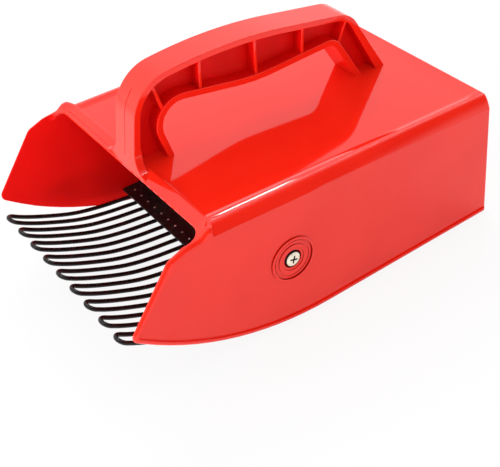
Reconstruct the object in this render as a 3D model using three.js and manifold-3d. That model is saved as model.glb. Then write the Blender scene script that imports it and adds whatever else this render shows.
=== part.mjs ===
// Berry picking rake: a moulded hood with a bow handle, over a steel floor pan that carries nine wire tines.
// Sizes are in millimetres. +Z is up, the tines point towards -Y, and X = 0 is the plane of symmetry.
// Everything is drawn with the front lip of the hood at Y = 0, and the finished group is moved along Y so
// that the origin lies under the centre of the whole rake.
import * as THREE from 'three';
import { mergeVertices } from 'three/addons/utils/BufferGeometryUtils.js';
import Module from 'manifold-3d';

const wasm = await Module();
wasm.setup();

// Fits
const gap = 0.3; // clearance between two pieces that touch
const overrun = 6; // how far a cutting shape runs past what it cuts

// Hood shell
const hoodWidth = 136; // over the side walls
const hoodLength = 168; // from the lip to the rear wall
const lipHeight = 78.2; // top of the lip over the flat underside
const rearHeight = 71; // top of the rear wall
const wall = 2.4;
const rollWidth = 8.8; // rounded bead along each upper edge
const rollHeight = 5.4;
const panelDrop = 0.9; // step from the beads down to the top panel
const collarFront = 2.6; // the raised collar behind the lip starts here
const collarBack = 7; // and ends here
const lipDrop = 0.6; // step from the collar down to the lip
const rearRound = 5;
const heelRound = 2;
const mouthRound = 7.5; // inner corners of the mouth, seen from above

// Side wings, which reach forward past the lip
const browReach = 4.5;
const browDrop = 0.2; // below the lip
const browRound = 10;
const shoulderReach = 18.7;
const shoulderDrop = 6.6;
const shoulderRound = 7;
const noseReach = 43.3;
const noseHeight = 40.4;
const noseRound = 4;
const keelSetback = 5.2; // corner where the rising keel line would meet the flat underside
const keelRound = 157;
const rimWidth = 2.4; // bead along the edge of each wing
const rimRise = 1;

// Bow handle, an I-section seen from the side
const bowWidth = 17.2;
const bowRise = 43.8; // corner of the crown over the lip, before its long rounding
const bowFront = 1.9; // foot of the front leg behind the lip
const bowRearMargin = 18; // foot of the rear leg ahead of the rear wall
const bowFrontLean = 5.7; // how far the front leg leans back over its height
const bowRearLean = 20;
const bowFrontDrop = 3.5; // below the corner of the crown
const bowRearDrop = 14.1;
const bowFrontRound = 14;
const bowCrownRound = 265;
const bowRearRound = 9;
const footSink = 2; // how deep the feet reach into the top panel
const flange = 3; // outer band of the handle
const gripFlange = 3.2; // band round the finger opening
const web = 2.6;
const rib = 1.6;
const ribInset = 0.7; // the ribs stay this far inside the bands
const flareRound = 9; // fillets where the front leg runs out into the collar

// Finger opening
const frontLeg = 20.3; // foot of the front leg, from its outer to its inner face
const rearLeg = 18.8;
const openingFrontLean = 7;
const openingRearLean = 12.9;
const openingFrontDrop = 16.3; // below the corner of the crown
const openingSagDrop = 27.5;
const openingRearDrop = 26.6;
const openingFrontRound = 11;
const openingSagRound = 100;
const openingRearRound = 6;

// Shares of the reach of the handle, chosen by hand: its turns, and the foot and head of each rib
const crownShare = 0.4;
const sagShare = 0.473;
const ribShares = [[0.155, 0.105], [0.27, 0.29], [0.482, 0.49], [0.663, 0.68], [0.81, 0.856]];

// Screw bosses on the side walls
const screwSetback = 42.3;
const screwHeight = 39;
const bossRadius = 12.5;
const bossRing = 2;
const bossDiscRadius = 8.2;
const bossRise = 0.8;
const bossPad = 2; // thickening on the inner side of the wall
const headClearance = 0.9; // round the screw head
const counterboreDepth = 2.8;

// Screws, washers and nuts
const screwRadius = 1.95;
const headRadius = 4;
const headHeight = 2.3;
const headCrown = 0.5;
const driveLength = 4.4;
const driveWidth = 0.9;
const driveDepth = 1.3;
const washerRadius = 4.6;
const washerThickness = 0.8;
const nutAcross = 7; // over the flats
const nutThickness = 3.2;
const threadEnd = 1; // thread that stands out of the nut

// Floor pan, folded from sheet steel
const sheet = 1.2;
const panFront = 23.4;
const panFrontHeight = 12.4; // underside of the raised front
const panFloorHeight = 3; // underside of the floor
const panLevel = 30.6; // length of the raised front
const panSlope = 32; // length of the slope, seen from above
const panBend = 14;
const panRearFlange = 9;
const panRearBend = 2;
const earWidth = 15;
const earTop = 7.6; // ear above the screw centre
const earRelief = 1;

// Seats for the pan on the rear wall
const ledgeDepth = 5;
const ledgeWidth = 100;
const lugWidth = 12;
const lugDepth = 2.4;
const lugHeight = 3;
const lugSpacing = 70;

// Wire tines
const tineCount = 9;
const tineMargin = 6.1; // from the side wall to the centre of the outermost leg
const wireRadius = 1.1;
const tineTipReach = 44.5; // wire centre at the tip, ahead of the lip
const tineTipHeight = 34.6;
const weldLength = 20.6; // how far the legs run back under the pan

// Shares of the run and the rise of a tine, from the front edge of the pan to its tip
const tineShares = [[0, 0], [0.256, 0.11], [0.486, 0.271], [0.764, 0.61], [0.9, 0.816]];

// Counts
const arcSteps = 8;
const ringSides = 32;
const wireSides = 8;
const turnSteps = 8;
const hexSides = 6;

const halfWidth = hoodWidth / 2;
const innerHalf = halfWidth - wall;
const topSlope = (lipHeight - rearHeight) / hoodLength;
const bowReach = hoodLength - bowRearMargin;
const bowTop = lipHeight + bowRise;
const counterboreRadius = headRadius + headClearance;
const tinePitch = (2 * (innerHalf - tineMargin)) / (2 * tineCount - 1);

const hoodPlastic = new THREE.MeshStandardMaterial({ color: 0xe8231c, roughness: 0.18, metalness: 0 });
const coatedSteel = new THREE.MeshStandardMaterial({ color: 0x101012, roughness: 0.35, metalness: 0.2 });
const platedSteel = new THREE.MeshStandardMaterial({ color: 0xe8d9ad, roughness: 0.3, metalness: 0.9 });

// Height of the upper surface of the beads at a distance behind the lip.
const topAt = (setback) => lipHeight - topSlope * setback;

const corner = (along, up, radius = 0) => ({ along, up, radius });

// Rounds each corner of a closed chain of straight lines. A corner without a radius stays sharp, so an
// open chain works too. Where two roundings don't fit on the line between them, both shrink alike.
function roundCorners(corners) {
  const count = corners.length;
  const spots = corners.map(({ along, up }) => new THREE.Vector2(along, up));
  const neighbours = (index) => [(index + count - 1) % count, (index + 1) % count];
  const halves = spots.map((spot, index) => {
    const [back, on] = neighbours(index).map((other) => spots[other].clone().sub(spot));
    return back.angleTo(on) / 2;
  });
  const reaches = corners.map(({ radius }, index) => radius / Math.tan(halves[index]));
  const points = [];
  spots.forEach((spot, index) => {
    if (corners[index].radius === 0) {
      points.push(spot);
      return;
    }
    const rooms = neighbours(index).map((other) => (
      spot.distanceTo(spots[other]) / (reaches[index] + reaches[other])
    ));
    const fit = Math.min(1, ...rooms);
    const [back, on] = neighbours(index).map((other) => spots[other].clone().sub(spot).normalize());
    const depth = (corners[index].radius * fit) / Math.sin(halves[index]);
    const middle = back.clone().add(on).normalize().multiplyScalar(depth).add(spot);
    const start = back.multiplyScalar(reaches[index] * fit).add(spot).sub(middle);
    const end = on.multiplyScalar(reaches[index] * fit).add(spot).sub(middle);
    const turn = Math.atan2(start.cross(end), start.dot(end));
    for (let step = 0; step <= arcSteps; step += 1) {
      const arm = start.clone().rotateAround(new THREE.Vector2(), (turn * step) / arcSteps);
      points.push(arm.add(middle));
    }
  });
  return points;
}

// Moves each line of a closed chain sideways, to the left of its direction, and follows with the radii.
function offsetCorners(corners, distance) {
  const lines = corners.map((here, index) => {
    const next = corners[(index + 1) % corners.length];
    const from = new THREE.Vector2(here.along, here.up);
    const way = new THREE.Vector2(next.along, next.up).sub(from).normalize();
    const left = new THREE.Vector2(-way.y, way.x).multiplyScalar(distance);
    return { from: from.add(left), way };
  });
  return corners.map((here, index) => {
    const after = lines[index];
    const before = lines[(index + corners.length - 1) % corners.length];
    const cross = before.way.cross(after.way);
    const apart = after.from.clone().sub(before.from);
    const where = before.from.clone().addScaledVector(before.way, apart.cross(after.way) / cross);
    const radius = here.radius === 0 ? 0 : Math.max(0, here.radius - Math.sign(cross) * distance);
    return corner(where.x, where.y, radius);
  });
}

function toSolid(geometry) {
  const bare = geometry.clone();
  bare.deleteAttribute('normal');
  bare.deleteAttribute('uv');
  const merged = mergeVertices(bare);
  const mesh = new wasm.Mesh({
    numProp: 3,
    vertProperties: new Float32Array(merged.attributes.position.array),
    triVerts: new Uint32Array(merged.index.array),
  });
  return new wasm.Manifold(mesh);
}

function toGeometry(solid) {
  const mesh = solid.getMesh();
  const geometry = new THREE.BufferGeometry();
  geometry.setAttribute('position', new THREE.BufferAttribute(new Float32Array(mesh.vertProperties), 3));
  geometry.setIndex(new THREE.BufferAttribute(new Uint32Array(mesh.triVerts), 1));
  geometry.computeVertexNormals();
  return geometry;
}

const drawnOut = (points, depth) => (
  new THREE.ExtrudeGeometry(new THREE.Shape(points), { depth, bevelEnabled: false })
);

// A side outline, given as Y and Z, drawn out along X from one place to another.
function sidePlate(points, fromX, toX) {
  const geometry = drawnOut(points, toX - fromX);
  const basis = new THREE.Matrix4().makeBasis(
    new THREE.Vector3(0, 1, 0),
    new THREE.Vector3(0, 0, 1),
    new THREE.Vector3(1, 0, 0),
  );
  return geometry.applyMatrix4(basis).translate(fromX, 0, 0);
}

// A cross-section, given as X and Z, drawn out along Y. Its upper half follows the slope of the top.
function crossLoft(points, fromY, toY, slope = topSlope) {
  const geometry = drawnOut(points, toY - fromY).rotateX(Math.PI / 2).translate(0, toY, 0);
  const place = geometry.attributes.position;
  for (let index = 0; index < place.count; index += 1) {
    if (place.getZ(index) > lipHeight / 2) {
      place.setZ(index, place.getZ(index) - slope * place.getY(index));
    }
  }
  return geometry;
}

function block(fromX, toX, fromY, toY, fromZ, toZ) {
  const geometry = new THREE.BoxGeometry(toX - fromX, toY - fromY, toZ - fromZ);
  return geometry.translate((fromX + toX) / 2, (fromY + toY) / 2, (fromZ + toZ) / 2);
}

// A round bar along X at the screw axis.
function sideBar(radius, fromX, toX) {
  const geometry = new THREE.CylinderGeometry(radius, radius, toX - fromX, ringSides);
  return geometry.rotateZ(-Math.PI / 2).translate((fromX + toX) / 2, screwSetback, screwHeight);
}

// Half of a cross-section with a wide, low rounding at the upper corner, mirrored to the other side.
// Below the rounding it may stand out sideways by a ledge.
function hoodSection(half, top, roundWidth, roundHeight, bottom, ledge = 0) {
  const right = [new THREE.Vector2(half + ledge, bottom)];
  if (ledge > 0) right.push(new THREE.Vector2(half + ledge, top - roundHeight));
  for (let step = 0; step <= arcSteps; step += 1) {
    const angle = (Math.PI / 2) * (step / arcSteps);
    right.push(new THREE.Vector2(
      half - roundWidth + roundWidth * Math.cos(angle),
      top - roundHeight + roundHeight * Math.sin(angle),
    ));
  }
  const left = right.map((point) => new THREE.Vector2(-point.x, point.y)).reverse();
  return [...right, ...left];
}

const sideCorners = [
  corner(hoodLength, 0, heelRound),
  corner(hoodLength, topAt(hoodLength), rearRound),
  corner(-browReach, lipHeight - browDrop, browRound),
  corner(-shoulderReach, lipHeight - shoulderDrop, shoulderRound),
  corner(-noseReach, noseHeight, noseRound),
  corner(keelSetback, 0, keelRound),
];

// Carries the line of a leg from its head down into the top panel.
function sunkFoot(setback, head) {
  const level = topAt(setback) - panelDrop;
  const lean = (setback - head.along) / (head.up - level);
  return corner(setback + lean * footSink, level - footSink);
}

const bowRearHead = corner(bowReach - bowRearLean, bowTop - bowRearDrop, bowRearRound);
const bowFrontHead = corner(bowFront + bowFrontLean, bowTop - bowFrontDrop, bowFrontRound);
const bowCorners = [
  sunkFoot(bowReach, bowRearHead),
  bowRearHead,
  corner(bowReach * crownShare, bowTop, bowCrownRound),
  bowFrontHead,
  sunkFoot(bowFront, bowFrontHead),
];

const openingFront = bowFront + frontLeg;
const openingRear = bowReach - rearLeg;
const openingRearHead = corner(openingRear - openingRearLean, bowTop - openingRearDrop, openingRearRound);
const openingFrontTop = bowTop - openingFrontDrop;
const openingFrontHead = corner(openingFront - openingFrontLean, openingFrontTop, openingFrontRound);
const openingCorners = [
  sunkFoot(openingRear, openingRearHead),
  openingRearHead,
  corner(bowReach * sagShare, bowTop - openingSagDrop, openingSagRound),
  openingFrontHead,
  sunkFoot(openingFront, openingFrontHead),
];

// A rib across the recess of the handle. Its ends reach into the two bands.
function ribPlate(footShare, headShare, core) {
  const foot = bowReach * footShare;
  const head = bowReach * headShare;
  const outline = [
    new THREE.Vector2(foot - rib / 2, bowTop - openingSagDrop - flange),
    new THREE.Vector2(foot + rib / 2, bowTop - openingSagDrop - flange),
    new THREE.Vector2(head + rib / 2, bowTop),
    new THREE.Vector2(head - rib / 2, bowTop),
  ];
  const reach = bowWidth / 2 - ribInset;
  return toSolid(sidePlate(outline, -reach, reach)).intersect(core);
}

function makeBow() {
  const reach = bowWidth / 2;
  const far = reach + overrun;
  const plate = (corners, half) => toSolid(sidePlate(roundCorners(corners), -half, half));
  const recess = plate(offsetCorners(bowCorners, flange), far)
    .subtract(plate(offsetCorners(openingCorners, -gripFlange), far));
  const core = plate(offsetCorners(bowCorners, flange / 2), far);
  let bow = plate(bowCorners, reach).subtract(recess).add(plate(bowCorners, web / 2));
  ribShares.forEach(([foot, head]) => {
    bow = bow.add(ribPlate(foot, head, core));
  });
  return bow.subtract(plate(openingCorners, far));
}

// The front band of the handle runs out sideways into the collar with a hollow fillet on each side.
function makeFlare() {
  const reach = bowWidth / 2;
  const foot = lipHeight - footSink;
  const points = [new THREE.Vector2(-reach - flareRound, foot), new THREE.Vector2(reach + flareRound, foot)];
  for (let step = 0; step <= arcSteps; step += 1) {
    const angle = (Math.PI / 2) * (step / arcSteps);
    points.push(new THREE.Vector2(
      reach + flareRound - flareRound * Math.sin(angle),
      topAt(collarFront) + flareRound - flareRound * Math.cos(angle),
    ));
  }
  const mirrored = points.slice(2).map((point) => new THREE.Vector2(-point.x, point.y)).reverse();
  return toSolid(crossLoft([...points, ...mirrored], collarFront, collarBack, 0));
}

// The side walls stand back from the bead that runs along the front and lower edges of each wing. The
// first two corners are at the rear, where the field runs out past the hood.
const fieldCorners = offsetCorners(sideCorners, rimWidth).map((here, index) => (
  index < 2 ? corner(hoodLength + overrun, here.up) : here
));

// The X positions of something on a side wall, in rising order, for the right or the left wall.
const sideSpan = (side, from, to) => (side > 0 ? [from, to] : [-to, -from]);
const sides = [1, -1];

function cutField(shell, side) {
  const span = sideSpan(side, halfWidth, halfWidth + overrun);
  return shell.subtract(toSolid(sidePlate(roundCorners(fieldCorners), ...span)));
}

const bossBar = (side, radius, from, to) => toSolid(sideBar(radius, ...sideSpan(side, from, to)));

function addBoss(shell, side) {
  const outside = halfWidth + bossRise;
  const ring = bossBar(side, bossRadius, halfWidth - wall / 2, outside)
    .subtract(bossBar(side, bossRadius - bossRing, halfWidth - wall, outside + overrun));
  return shell
    .add(ring)
    .add(bossBar(side, bossDiscRadius, halfWidth - wall / 2, outside))
    .subtract(bossBar(side, counterboreRadius, outside - counterboreDepth, outside + overrun))
    .subtract(bossBar(side, screwRadius + gap, innerHalf - bossPad - overrun, outside));
}

// The hollow of the hood, less the pads behind the bosses and the seats of the pan on the rear wall.
function makeCavity(front) {
  const rear = hoodLength - wall;
  const section = hoodSection(innerHalf, lipHeight - panelDrop - wall, wall, wall, -overrun);
  let cavity = toSolid(crossLoft(section, front, rear));
  sides.forEach((side) => {
    cavity = cavity.subtract(bossBar(side, bossDiscRadius, innerHalf - bossPad, innerHalf + overrun));
  });
  const half = ledgeWidth / 2;
  const ledge = block(-half, half, rear - ledgeDepth, rear + overrun, -2 * overrun, panFloorHeight - gap);
  cavity = cavity.subtract(toSolid(ledge));
  const foot = panFloorHeight + panRearFlange + gap;
  sides.forEach((side) => {
    const across = sideSpan(side, (lugSpacing - lugWidth) / 2, (lugSpacing + lugWidth) / 2);
    const lug = block(...across, rear - lugDepth, rear + overrun, foot, foot + lugHeight);
    cavity = cavity.subtract(toSolid(lug));
  });
  return cavity;
}

// The opening between the wings, in front of the lip, with its two rounded inner corners.
function makeMouth(front) {
  const outline = roundCorners([
    corner(-innerHalf, front),
    corner(innerHalf, front),
    corner(innerHalf, 0, mouthRound),
    corner(-innerHalf, 0, mouthRound),
  ]);
  return toSolid(drawnOut(outline, 2 * rollWidth).translate(0, 0, lipHeight - rollWidth));
}

function makeHood() {
  const front = -noseReach - overrun;
  const section = hoodSection(halfWidth, lipHeight, rollWidth, rollHeight, 0, rimRise);
  let shell = toSolid(crossLoft(section, front, hoodLength + overrun));
  const far = halfWidth + overrun;
  shell = shell.intersect(toSolid(sidePlate(roundCorners(sideCorners), -far, far)));
  sides.forEach((side) => {
    shell = cutField(shell, side);
  });

  // The top panel lies a step lower than the beads and the collar, and the lip a little lower too.
  const panelHalf = halfWidth - rollWidth;
  const pocket = [
    new THREE.Vector2(-panelHalf, lipHeight - panelDrop),
    new THREE.Vector2(panelHalf, lipHeight - panelDrop),
    new THREE.Vector2(panelHalf, lipHeight + overrun),
    new THREE.Vector2(-panelHalf, lipHeight + overrun),
  ];
  shell = shell.subtract(toSolid(crossLoft(pocket, collarBack, hoodLength + overrun)));
  const lipStep = pocket.map((point) => new THREE.Vector2(point.x, point.y + panelDrop - lipDrop));
  shell = shell.subtract(toSolid(crossLoft(lipStep, -overrun, collarFront)));
  shell = shell.add(makeBow()).add(makeFlare());
  shell = shell.subtract(makeCavity(front)).subtract(makeMouth(front));
  sides.forEach((side) => {
    shell = addBoss(shell, side);
  });
  return shell;
}

// Inner face of the boss pad, then outwards to inwards: ear, washer, nut and the end of the thread.
const padFace = innerHalf - bossPad;
const earOuter = padFace - gap;
const earInner = earOuter - sheet;
const washerOuter = earInner - gap;
const nutOuter = washerOuter - washerThickness - gap;
const threadTip = nutOuter - nutThickness - threadEnd;
const headSeat = halfWidth + bossRise - counterboreDepth + gap;

function makePan() {
  const rear = hoodLength - wall - gap;
  const slopeTop = panFront + panLevel;
  const under = roundCorners([
    corner(panFront, panFrontHeight),
    corner(slopeTop, panFrontHeight, panBend),
    corner(slopeTop + panSlope, panFloorHeight, panBend),
    corner(rear, panFloorHeight, panRearBend),
    corner(rear, panFloorHeight + panRearFlange),
  ]);
  const over = under.map((point, index) => {
    const before = under[Math.max(0, index - 1)];
    const after = under[Math.min(under.length - 1, index + 1)];
    const way = after.clone().sub(before).normalize();
    return new THREE.Vector2(point.x - way.y * sheet, point.y + way.x * sheet);
  });
  const panHalf = innerHalf - gap;
  let pan = toSolid(sidePlate([...under, ...over.reverse()], -panHalf, panHalf));
  const ends = (half) => [screwSetback - half, screwSetback + half];
  sides.forEach((side) => {
    const outside = sideSpan(side, earOuter, panHalf + overrun);
    const relief = block(...outside, ...ends(earWidth / 2 + earRelief), 0, screwHeight);
    const within = sideSpan(side, earInner, earOuter);
    const ear = block(...within, ...ends(earWidth / 2), panFrontHeight, screwHeight + earTop);
    pan = pan.subtract(toSolid(relief)).add(toSolid(ear));
    pan = pan.subtract(bossBar(side, screwRadius + gap, earInner - overrun, earOuter + overrun));
  });
  return pan;
}

// The centre line of a tine: back under the pan, forward and up, round the tip and back again.
function tinePoints() {
  const startHeight = panFrontHeight - gap - wireRadius;
  const run = panFront + tineTipReach;
  const rise = tineTipHeight - startHeight;
  const curve = tineShares.map(([along, up]) => (
    new THREE.Vector3(0, panFront - along * run, startHeight + up * rise)
  ));
  const tip = new THREE.Vector3(0, -tineTipReach, tineTipHeight);
  const way = tip.clone().sub(curve[curve.length - 1]).normalize();
  const bend = tinePitch / 2;
  const turnCentre = tip.clone().addScaledVector(way, -bend);
  curve.push(turnCentre);
  const smooth = new THREE.CatmullRomCurve3(curve, false, 'centripetal').getPoints(curve.length * 2);
  const across = new THREE.Vector3(1, 0, 0);
  const leg = [new THREE.Vector3(0, panFront + weldLength, startHeight), ...smooth];
  const points = leg.map((point) => point.clone().addScaledVector(across, -bend));
  for (let step = 1; step < turnSteps; step += 1) {
    const angle = Math.PI * (step / turnSteps);
    points.push(turnCentre.clone()
      .addScaledVector(across, -bend * Math.cos(angle))
      .addScaledVector(way, bend * Math.sin(angle)));
  }
  return points.concat(leg.reverse().map((point) => point.clone().addScaledVector(across, bend)));
}

// A path that puts one ring of the tube on each of its points.
class PointPath extends THREE.Curve {
  constructor(points) {
    super();
    this.points = points;
  }

  getPointAt(share) {
    return this.points[Math.round(share * (this.points.length - 1))].clone();
  }

  getTangentAt(share) {
    const index = Math.round(share * (this.points.length - 1));
    const before = this.points[Math.max(0, index - 1)];
    const after = this.points[Math.min(this.points.length - 1, index + 1)];
    return after.clone().sub(before).normalize();
  }
}

function makeTine() {
  const path = new PointPath(tinePoints());
  const section = new THREE.Shape();
  for (let side = 0; side < wireSides; side += 1) {
    const angle = (2 * Math.PI * side) / wireSides;
    const place = [wireRadius * Math.cos(angle), wireRadius * Math.sin(angle)];
    if (side === 0) section.moveTo(...place);
    else section.lineTo(...place);
  }
  return new THREE.ExtrudeGeometry(section, { steps: path.points.length - 1, extrudePath: path });
}

// A screw, washer or nut is turned about its own axis, which then lies along X with the head outwards.
function turned(profile, sides = ringSides) {
  const points = profile.map(([radius, along]) => new THREE.Vector2(radius, along));
  return toSolid(new THREE.LatheGeometry(points, sides).rotateZ(-Math.PI / 2));
}

function makeScrew() {
  const top = headSeat + headHeight;
  let screw = turned([
    [0, threadTip],
    [screwRadius - gap, threadTip],
    [screwRadius, threadTip + gap],
    [screwRadius, headSeat],
    [headRadius, headSeat],
    [headRadius, top - headCrown],
    [headRadius - headCrown, top],
    [0, top],
  ]);
  const slot = driveWidth / 2;
  const arm = driveLength / 2;
  screw = screw.subtract(toSolid(block(top - driveDepth, top + overrun, -arm, arm, -slot, slot)));
  return screw.subtract(toSolid(block(top - driveDepth, top + overrun, -slot, slot, -arm, arm)));
}

function makeWasher() {
  const bore = screwRadius + gap;
  return turned([
    [bore, washerOuter - washerThickness],
    [washerRadius, washerOuter - washerThickness],
    [washerRadius, washerOuter],
    [bore, washerOuter],
    [bore, washerOuter - washerThickness],
  ]);
}

function makeNut() {
  const reach = nutAcross / 2 / Math.cos(Math.PI / hexSides);
  const hexagon = turned([
    [0, nutOuter - nutThickness],
    [reach, nutOuter - nutThickness],
    [reach, nutOuter],
    [0, nutOuter],
  ], hexSides);
  const bore = screwRadius + gap;
  return hexagon.subtract(turned([
    [0, nutOuter - nutThickness - overrun],
    [bore, nutOuter - nutThickness - overrun],
    [bore, nutOuter + overrun],
    [0, nutOuter + overrun],
  ]));
}

function addMesh(group, name, geometry, material) {
  const mesh = new THREE.Mesh(geometry, material);
  mesh.name = name;
  group.add(mesh);
  return mesh;
}

const rake = new THREE.Group();
rake.name = 'berry_rake';
addMesh(rake, 'hood', toGeometry(makeHood()), hoodPlastic);
addMesh(rake, 'floor_pan', toGeometry(makePan()), coatedSteel);

const tine = makeTine();
for (let index = 0; index < tineCount; index += 1) {
  const mesh = addMesh(rake, `tine_${index + 1}`, tine, coatedSteel);
  mesh.position.x = 2 * tinePitch * (index - (tineCount - 1) / 2);
}

const fasteners = [
  ['side_screw', toGeometry(makeScrew())],
  ['washer', toGeometry(makeWasher())],
  ['nut', toGeometry(makeNut())],
];
[['right', 0], ['left', Math.PI]].forEach(([hand, turn]) => {
  fasteners.forEach(([name, geometry]) => {
    const mesh = addMesh(rake, `${name}_${hand}`, geometry, platedSteel);
    mesh.position.set(0, screwSetback, screwHeight);
    mesh.rotation.z = turn;
  });
});

const outline = new THREE.Box3().setFromObject(rake);
rake.position.y = -outline.getCenter(new THREE.Vector3()).y;

export default rake;
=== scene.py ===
"""Berry picking rake: a moulded red hood with a bow handle over a black steel pan that carries nine wire tines.

The pieces are drawn in millimetres with the front lip of the hood at Y = 0, the underside at Z = 0 and the
plane of symmetry at X = 0. Each finished piece is then moved into the place of its CAD node, in metres.
"""
from math import asin, atan2, cos, pi, radians, sin, tan

import bmesh
import bpy
from mathutils import Matrix, Vector


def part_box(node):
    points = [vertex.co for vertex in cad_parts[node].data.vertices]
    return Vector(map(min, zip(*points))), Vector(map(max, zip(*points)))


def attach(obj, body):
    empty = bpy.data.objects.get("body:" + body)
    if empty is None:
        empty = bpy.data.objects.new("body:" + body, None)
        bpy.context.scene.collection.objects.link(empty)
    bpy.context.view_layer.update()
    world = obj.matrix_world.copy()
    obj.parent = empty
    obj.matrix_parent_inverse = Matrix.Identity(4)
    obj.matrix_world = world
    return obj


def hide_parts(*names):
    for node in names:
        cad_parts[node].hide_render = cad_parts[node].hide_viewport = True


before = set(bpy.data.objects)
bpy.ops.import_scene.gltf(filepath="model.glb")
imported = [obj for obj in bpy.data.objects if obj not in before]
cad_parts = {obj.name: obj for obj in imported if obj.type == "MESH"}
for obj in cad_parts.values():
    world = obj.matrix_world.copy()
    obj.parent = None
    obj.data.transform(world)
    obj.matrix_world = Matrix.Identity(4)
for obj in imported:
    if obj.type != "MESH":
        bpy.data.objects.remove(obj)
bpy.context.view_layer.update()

MM = 0.001
ARC_STEPS = 14  # steps of a rounded corner
TOUCH = 0.01  # places closer than this count as the same
EASE = 0.3  # rounding of a moulded edge
FLAT = 0.3  # faces that meet at fewer degrees than this are merged
TURN = 32  # edges that turn by more degrees than this are rounded
SHARP = 38  # edges that turn by more degrees than this are shaded sharp
FAR = 12.0  # how far a cutting shape runs past what it cuts
ACROSS = 85.0  # half the length of a shape that runs across the whole rake
AHEAD = -60.0  # front end of a shape that runs ahead of the wings
UPPER, ABOVE = 50.0, 100.0  # from below the top of the hood to above it

# Camera of the photograph, fitted to the edges of the hood and the handle
LENS = 75.381
SENSOR = 36.0
CAMERA_PLACE = (372.46, -156.98, 353.89)
CAMERA_RIGHT = (0.57304, 0.81353, -0.09896)
CAMERA_UP = (-0.47641, 0.42894, 0.76749)
CAMERA_BACK = (0.66682, -0.39266, 0.63337)

# Hood
HOOD_LENGTH = 168.0
REAR_SETBACK = 0.2  # the top stops this far short of the rear of the bead
LIP_HEIGHT = 78.2
REAR_HEIGHT = 71.0
TOP_SLOPE = (LIP_HEIGHT - REAR_HEIGHT) / HOOD_LENGTH
BEAD_HALF = 69.0  # over the bead on the edges of the side walls
WALL_HALF = 68.0  # outer face of the side walls
WALL_REAR = 167.75  # outer face of the rear wall
WALL = 2.4
INNER_HALF = WALL_HALF - WALL
INNER_REAR = HOOD_LENGTH - WALL
PANEL_DROP = 0.95  # the top panel lies this far below the rolled edges
REAR_ROUND = 1.6  # rounding of the rear edges
BEAD_ROUND = 3.5  # the same on the bead

# Screw axis on the side walls
SCREW_Y = 43.3
SCREW_Z = 37.8
HOLE = 2.25  # radius of the hole for the screw
TO_AXIS = Matrix.Translation((0, -SCREW_Y, -SCREW_Z))

# Handle
BOW_HALF = 8.6
BOW_TOP = 121.82
BOW_REACH = 150.0


# Outlines

def round_corners(corners, steps=ARC_STEPS):
    """Points of a closed chain of corners (a, b, radius), each rounded by its radius."""
    points = []
    count = len(corners)
    for index, (a, b, radius) in enumerate(corners):
        spot = Vector((a, b))
        if radius == 0:
            points.append(spot)
            continue
        back = (Vector(corners[index - 1][:2]) - spot).normalized()
        on = (Vector(corners[(index + 1) % count][:2]) - spot).normalized()
        half = back.angle(on) / 2
        middle = spot + (back + on).normalized() * (radius / sin(half))
        start = spot + back * (radius / tan(half)) - middle
        end = spot + on * (radius / tan(half)) - middle
        turn = atan2(start.cross(end), start.dot(end))
        for step in range(steps + 1):
            points.append(middle + Matrix.Rotation(turn * step / steps, 2) @ start)
    return points


def offset_corners(corners, distance):
    """Moves each line of a closed chain sideways, to the left of its direction, and follows with the radii."""
    count = len(corners)
    lines = []
    for index, here in enumerate(corners):
        start = Vector(here[:2])
        way = (Vector(corners[(index + 1) % count][:2]) - start).normalized()
        lines.append((start + Vector((-way.y, way.x)) * distance, way))
    moved = []
    for index, (_, _, radius) in enumerate(corners):
        (before, way_in), (after, way_out) = lines[index - 1], lines[index]
        turn = way_in.cross(way_out)
        place = before + way_in * ((after - before).cross(way_out) / turn)
        side = 1 if turn > 0 else -1
        moved.append((place.x, place.y, max(0.0, radius - side * distance) if radius else 0.0))
    return moved


def four_corners(half, low, far_half, high, radius=0, steps=ARC_STEPS):
    """An outline with two corners at low and two at high, which may be round."""
    corners = [(-half, low, 0), (half, low, 0), (far_half, high, radius), (-far_half, high, radius)]
    return round_corners(corners, steps)


def both_sides(right):
    """The right half of an outline, followed by its mirror image."""
    return right + [(-x, y) for x, y in reversed(right)]


# Mesh tools

def draw_out(bm, face, keep=False):
    """Extrudes a face and gives the new end face and its vertices. The old face goes, unless it closes the end."""
    grown = bmesh.ops.extrude_face_region(bm, geom=[face])["geom"]
    if not keep:
        bmesh.ops.delete(bm, geom=[face], context="FACES_ONLY")
    end = [item for item in grown if isinstance(item, bmesh.types.BMFace)][0]
    return end, [item for item in grown if isinstance(item, bmesh.types.BMVert)]


def cut_across(bm, y):
    """Adds a loop of edges at one place along the length."""
    bmesh.ops.bisect_plane(bm, geom=bm.verts[:] + bm.edges[:] + bm.faces[:], plane_co=(0, y, 0), plane_no=(0, 1, 0))


def to_side(bm, side):
    """Mirrors a mesh drawn for the right side when it is for the left."""
    if side < 0:
        bmesh.ops.scale(bm, verts=bm.verts, vec=(-1, 1, 1))
        bmesh.ops.reverse_faces(bm, faces=bm.faces)
    return bm


def turn_out(bm):
    """Turns every face to the outside."""
    bmesh.ops.recalc_face_normals(bm, faces=bm.faces)
    return bm


def paint(bm, picked):
    """Gives faces the second material of a piece. They are picked by their middle and the way they face."""
    bm.normal_update()
    for face in bm.faces:
        if picked(face.calc_center_median(), face.normal):
            face.material_index = 1
    return bm


def from_axis(place):
    """How far a place lies from the screw axis."""
    return Vector((place.y - SCREW_Y, place.z - SCREW_Z)).length


# How the two measures of an outline and the one along each axis make a place
PLACES = {
    "X": (lambda a, b, c: (c, a, b), Vector((1, 0, 0))),
    "Y": (lambda a, b, c: (a, c, b), Vector((0, 1, 0))),
    "Z": (lambda a, b, c: (a, b, c), Vector((0, 0, 1))),
}


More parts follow.
